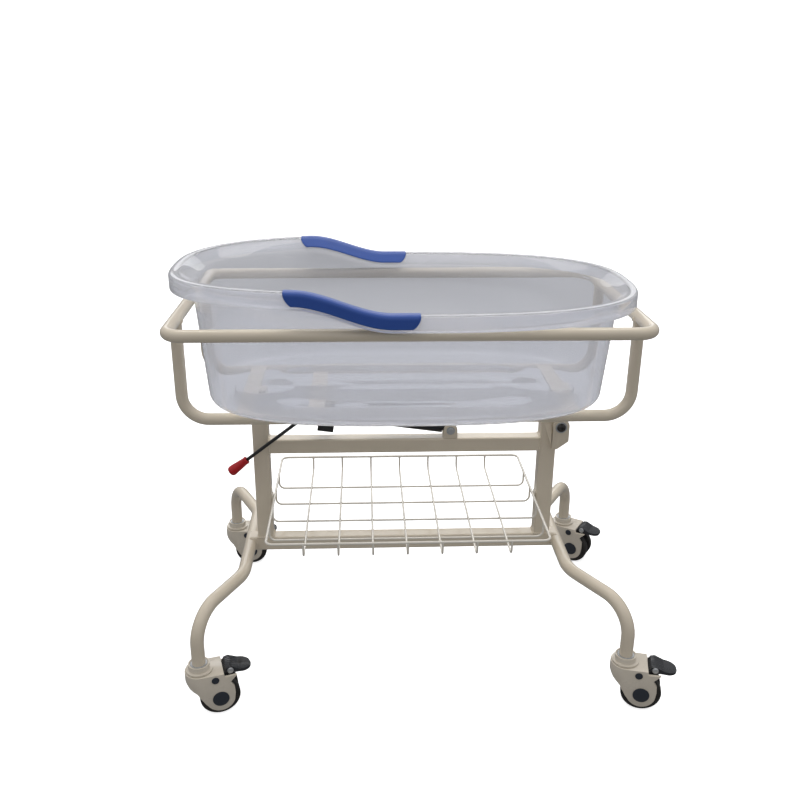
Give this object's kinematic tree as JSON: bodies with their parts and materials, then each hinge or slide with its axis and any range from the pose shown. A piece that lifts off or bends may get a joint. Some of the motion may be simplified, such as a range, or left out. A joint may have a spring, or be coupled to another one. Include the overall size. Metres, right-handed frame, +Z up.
{
  "type": "hospital bassinet",
  "caption": "Hospital bassinet: a lift-out moulded tub in a tilting tube cradle, on a frame with a wire basket and braked twin-wheel castors.",
  "frame": {"origin": "centre of the bounds in plan, on the floor", "axes": "+X to the foot end with the tilt pivot, +Y to the back, +Z up"},
  "size_m": [0.9348, 0.6152, 0.8007],
  "materials": {
    "frame_coat": "satin powder coat",
    "wire_coat": "satin powder coat",
    "tub_plastic": "glossy moulded plastic",
    "grip_blue": "satin",
    "lever_red": "satin",
    "black_metal": "satin black",
    "rod_chrome": "polished",
    "zinc_steel": "plain",
    "bush_brass": "plain",
    "buffer_rubber": "matt",
    "caster_cream": "glossy moulded plastic",
    "hub_plastic": "matt",
    "cap_dark": "satin",
    "pedal_black": "satin",
    "tyre": "matt"
  },
  "bodies": {
    "base": {"lower_beam": "frame_coat", "upper_beam": "frame_coat", "post_head": "frame_coat", "post_foot": "frame_coat", "leg_tube_head": "frame_coat", "leg_tube_foot": "frame_coat", "rest_buffer": "buffer_rubber", "pivot_ears": "frame_coat", "post_gussets": "frame_coat", "pivot_bolt": "black_metal", "spring_lugs": "frame_coat", "spring_lug_bolt": "zinc_steel", "caster_stems": "zinc_steel", "stem_sockets": "zinc_steel", "basket_rim": "wire_coat", "basket_cross_wires": "wire_coat", "basket_long_wires": "wire_coat", "basket_tabs": "wire_coat"},
    "cradle": {"cradle_ring": "frame_coat", "hanger_front": "frame_coat", "hanger_back": "frame_coat", "cross_strips": "frame_coat", "pivot_bracket": "frame_coat", "pivot_bushes": "bush_brass", "rest_bracket": "frame_coat", "spring_bracket": "frame_coat", "bracket_pins": "zinc_steel"},
    "tub": {"tub_shell": "tub_plastic", "grip_front": "grip_blue", "grip_back": "grip_blue"},
    "release_lever": {"lever_rod": "black_metal", "lever_grip": "lever_red"},
    "gas_cylinder": {"gas_cylinder": "black_metal", "cylinder_eye": "black_metal"},
    "gas_rod": {"piston_rod": "rod_chrome", "release_head": "black_metal"},
    "caster_fl": {"caster_fl_housing": "caster_cream", "caster_fl_pins": "zinc_steel", "caster_fl_caps": "cap_dark"},
    "wheels_fl": {"caster_fl_tyres": "tyre", "caster_fl_hubs": "hub_plastic"},
    "pedal_fl": {"caster_fl_pedal": "pedal_black"},
    "caster_fr": {"caster_fr_housing": "caster_cream", "caster_fr_pins": "zinc_steel", "caster_fr_caps": "cap_dark"},
    "wheels_fr": {"caster_fr_tyres": "tyre", "caster_fr_hubs": "hub_plastic"},
    "pedal_fr": {"caster_fr_pedal": "pedal_black"},
    "caster_bl": {"caster_bl_housing": "caster_cream", "caster_bl_pins": "zinc_steel", "caster_bl_caps": "cap_dark"},
    "wheels_bl": {"caster_bl_tyres": "tyre", "caster_bl_hubs": "hub_plastic"},
    "pedal_bl": {"caster_bl_pedal": "pedal_black"},
    "caster_br": {"caster_br_housing": "caster_cream", "caster_br_pins": "zinc_steel", "caster_br_caps": "cap_dark"},
    "wheels_br": {"caster_br_tyres": "tyre", "caster_br_hubs": "hub_plastic"},
    "pedal_br": {"caster_br_pedal": "pedal_black"}
  },
  "joints": [
    {"name": "cradle_tilt", "type": "hinge", "parent": "base", "child": "cradle", "pos_m": [0.27863, 0.0068, 0.466], "axis": [0, 1, 0], "range_deg": [0, 12]},
    {"name": "tub_lift", "type": "slide", "parent": "cradle", "child": "tub", "axis": [0, 0, 1], "range_m": [0, 0.25]},
    {"name": "release_lever", "type": "hinge", "parent": "cradle", "child": "release_lever", "pos_m": [-0.21437, -0.0232, 0.51], "axis": [0, 1, 0], "range_deg": [0, 8], "stiffness_Nm_per_rad": 1, "springref_deg": -8.59},
    {"name": "gas_cylinder_tilt", "type": "hinge", "parent": "base", "child": "gas_cylinder", "pos_m": [0.05763, 0.0068, 0.4575], "axis": [0, 1, 0], "range_deg": [0, 22]},
    {"name": "gas_rod_slide", "type": "slide", "parent": "gas_cylinder", "child": "gas_rod", "axis": [-0.9901, 0, 0.14], "range_m": [0, 0.017]},
    {"name": "swivel_fl", "type": "hinge", "parent": "base", "child": "caster_fl", "pos_m": [-0.42537, -0.2642, 0.09], "axis": [0, 0, 1], "continuous": true},
    {"name": "wheel_spin_fl", "type": "hinge", "parent": "caster_fl", "child": "wheels_fl", "pos_m": [-0.39365, -0.2551, 0.0375], "axis": [-0.2756, 0.9613, 0], "continuous": true},
    {"name": "brake_pedal_fl", "type": "hinge", "parent": "caster_fl", "child": "pedal_fl", "pos_m": [-0.40105, -0.25723, 0.0797], "axis": [-0.2756, 0.9613, 0], "range_deg": [0, 10]},
    {"name": "swivel_fr", "type": "hinge", "parent": "base", "child": "caster_fr", "pos_m": [0.37463, -0.2642, 0.09], "axis": [0, 0, 1], "continuous": true},
    {"name": "wheel_spin_fr", "type": "hinge", "parent": "caster_fr", "child": "wheels_fr", "pos_m": [0.40665, -0.27218, 0.0375], "axis": [0.2419, 0.9703, 0], "continuous": true},
    {"name": "brake_pedal_fr", "type": "hinge", "parent": "caster_fr", "child": "pedal_fr", "pos_m": [0.39918, -0.27032, 0.0797], "axis": [0.2419, 0.9703, 0], "range_deg": [0, 10]},
    {"name": "swivel_bl", "type": "hinge", "parent": "base", "child": "caster_bl", "pos_m": [-0.42537, 0.2778, 0.09], "axis": [0, 0, 1], "continuous": true},
    {"name": "wheel_spin_bl", "type": "hinge", "parent": "caster_bl", "child": "wheels_bl", "pos_m": [-0.39237, 0.27722, 0.0375], "axis": [0.0175, 0.9998, 0], "continuous": true},
    {"name": "brake_pedal_bl", "type": "hinge", "parent": "caster_bl", "child": "pedal_bl", "pos_m": [-0.40007, 0.27736, 0.0797], "axis": [0.0175, 0.9998, 0], "range_deg": [0, 10]},
    {"name": "swivel_br", "type": "hinge", "parent": "base", "child": "caster_br", "pos_m": [0.37463, 0.2778, 0.09], "axis": [0, 0, 1], "continuous": true},
    {"name": "wheel_spin_br", "type": "hinge", "parent": "caster_br", "child": "wheels_br", "pos_m": [0.40231, 0.25983, 0.0375], "axis": [0.5446, 0.8387, 0], "continuous": true},
    {"name": "brake_pedal_br", "type": "hinge", "parent": "caster_br", "child": "pedal_br", "pos_m": [0.39585, 0.26402, 0.0797], "axis": [0.5446, 0.8387, 0], "range_deg": [0, 10]}
  ],
  "couplings": [
    {"joint": "gas_cylinder_tilt", "follows": "cradle_tilt", "ratio": 1.7882},
    {"joint": "gas_rod_slide", "follows": "cradle_tilt", "m_per_rad": 0.07932}
  ]
}
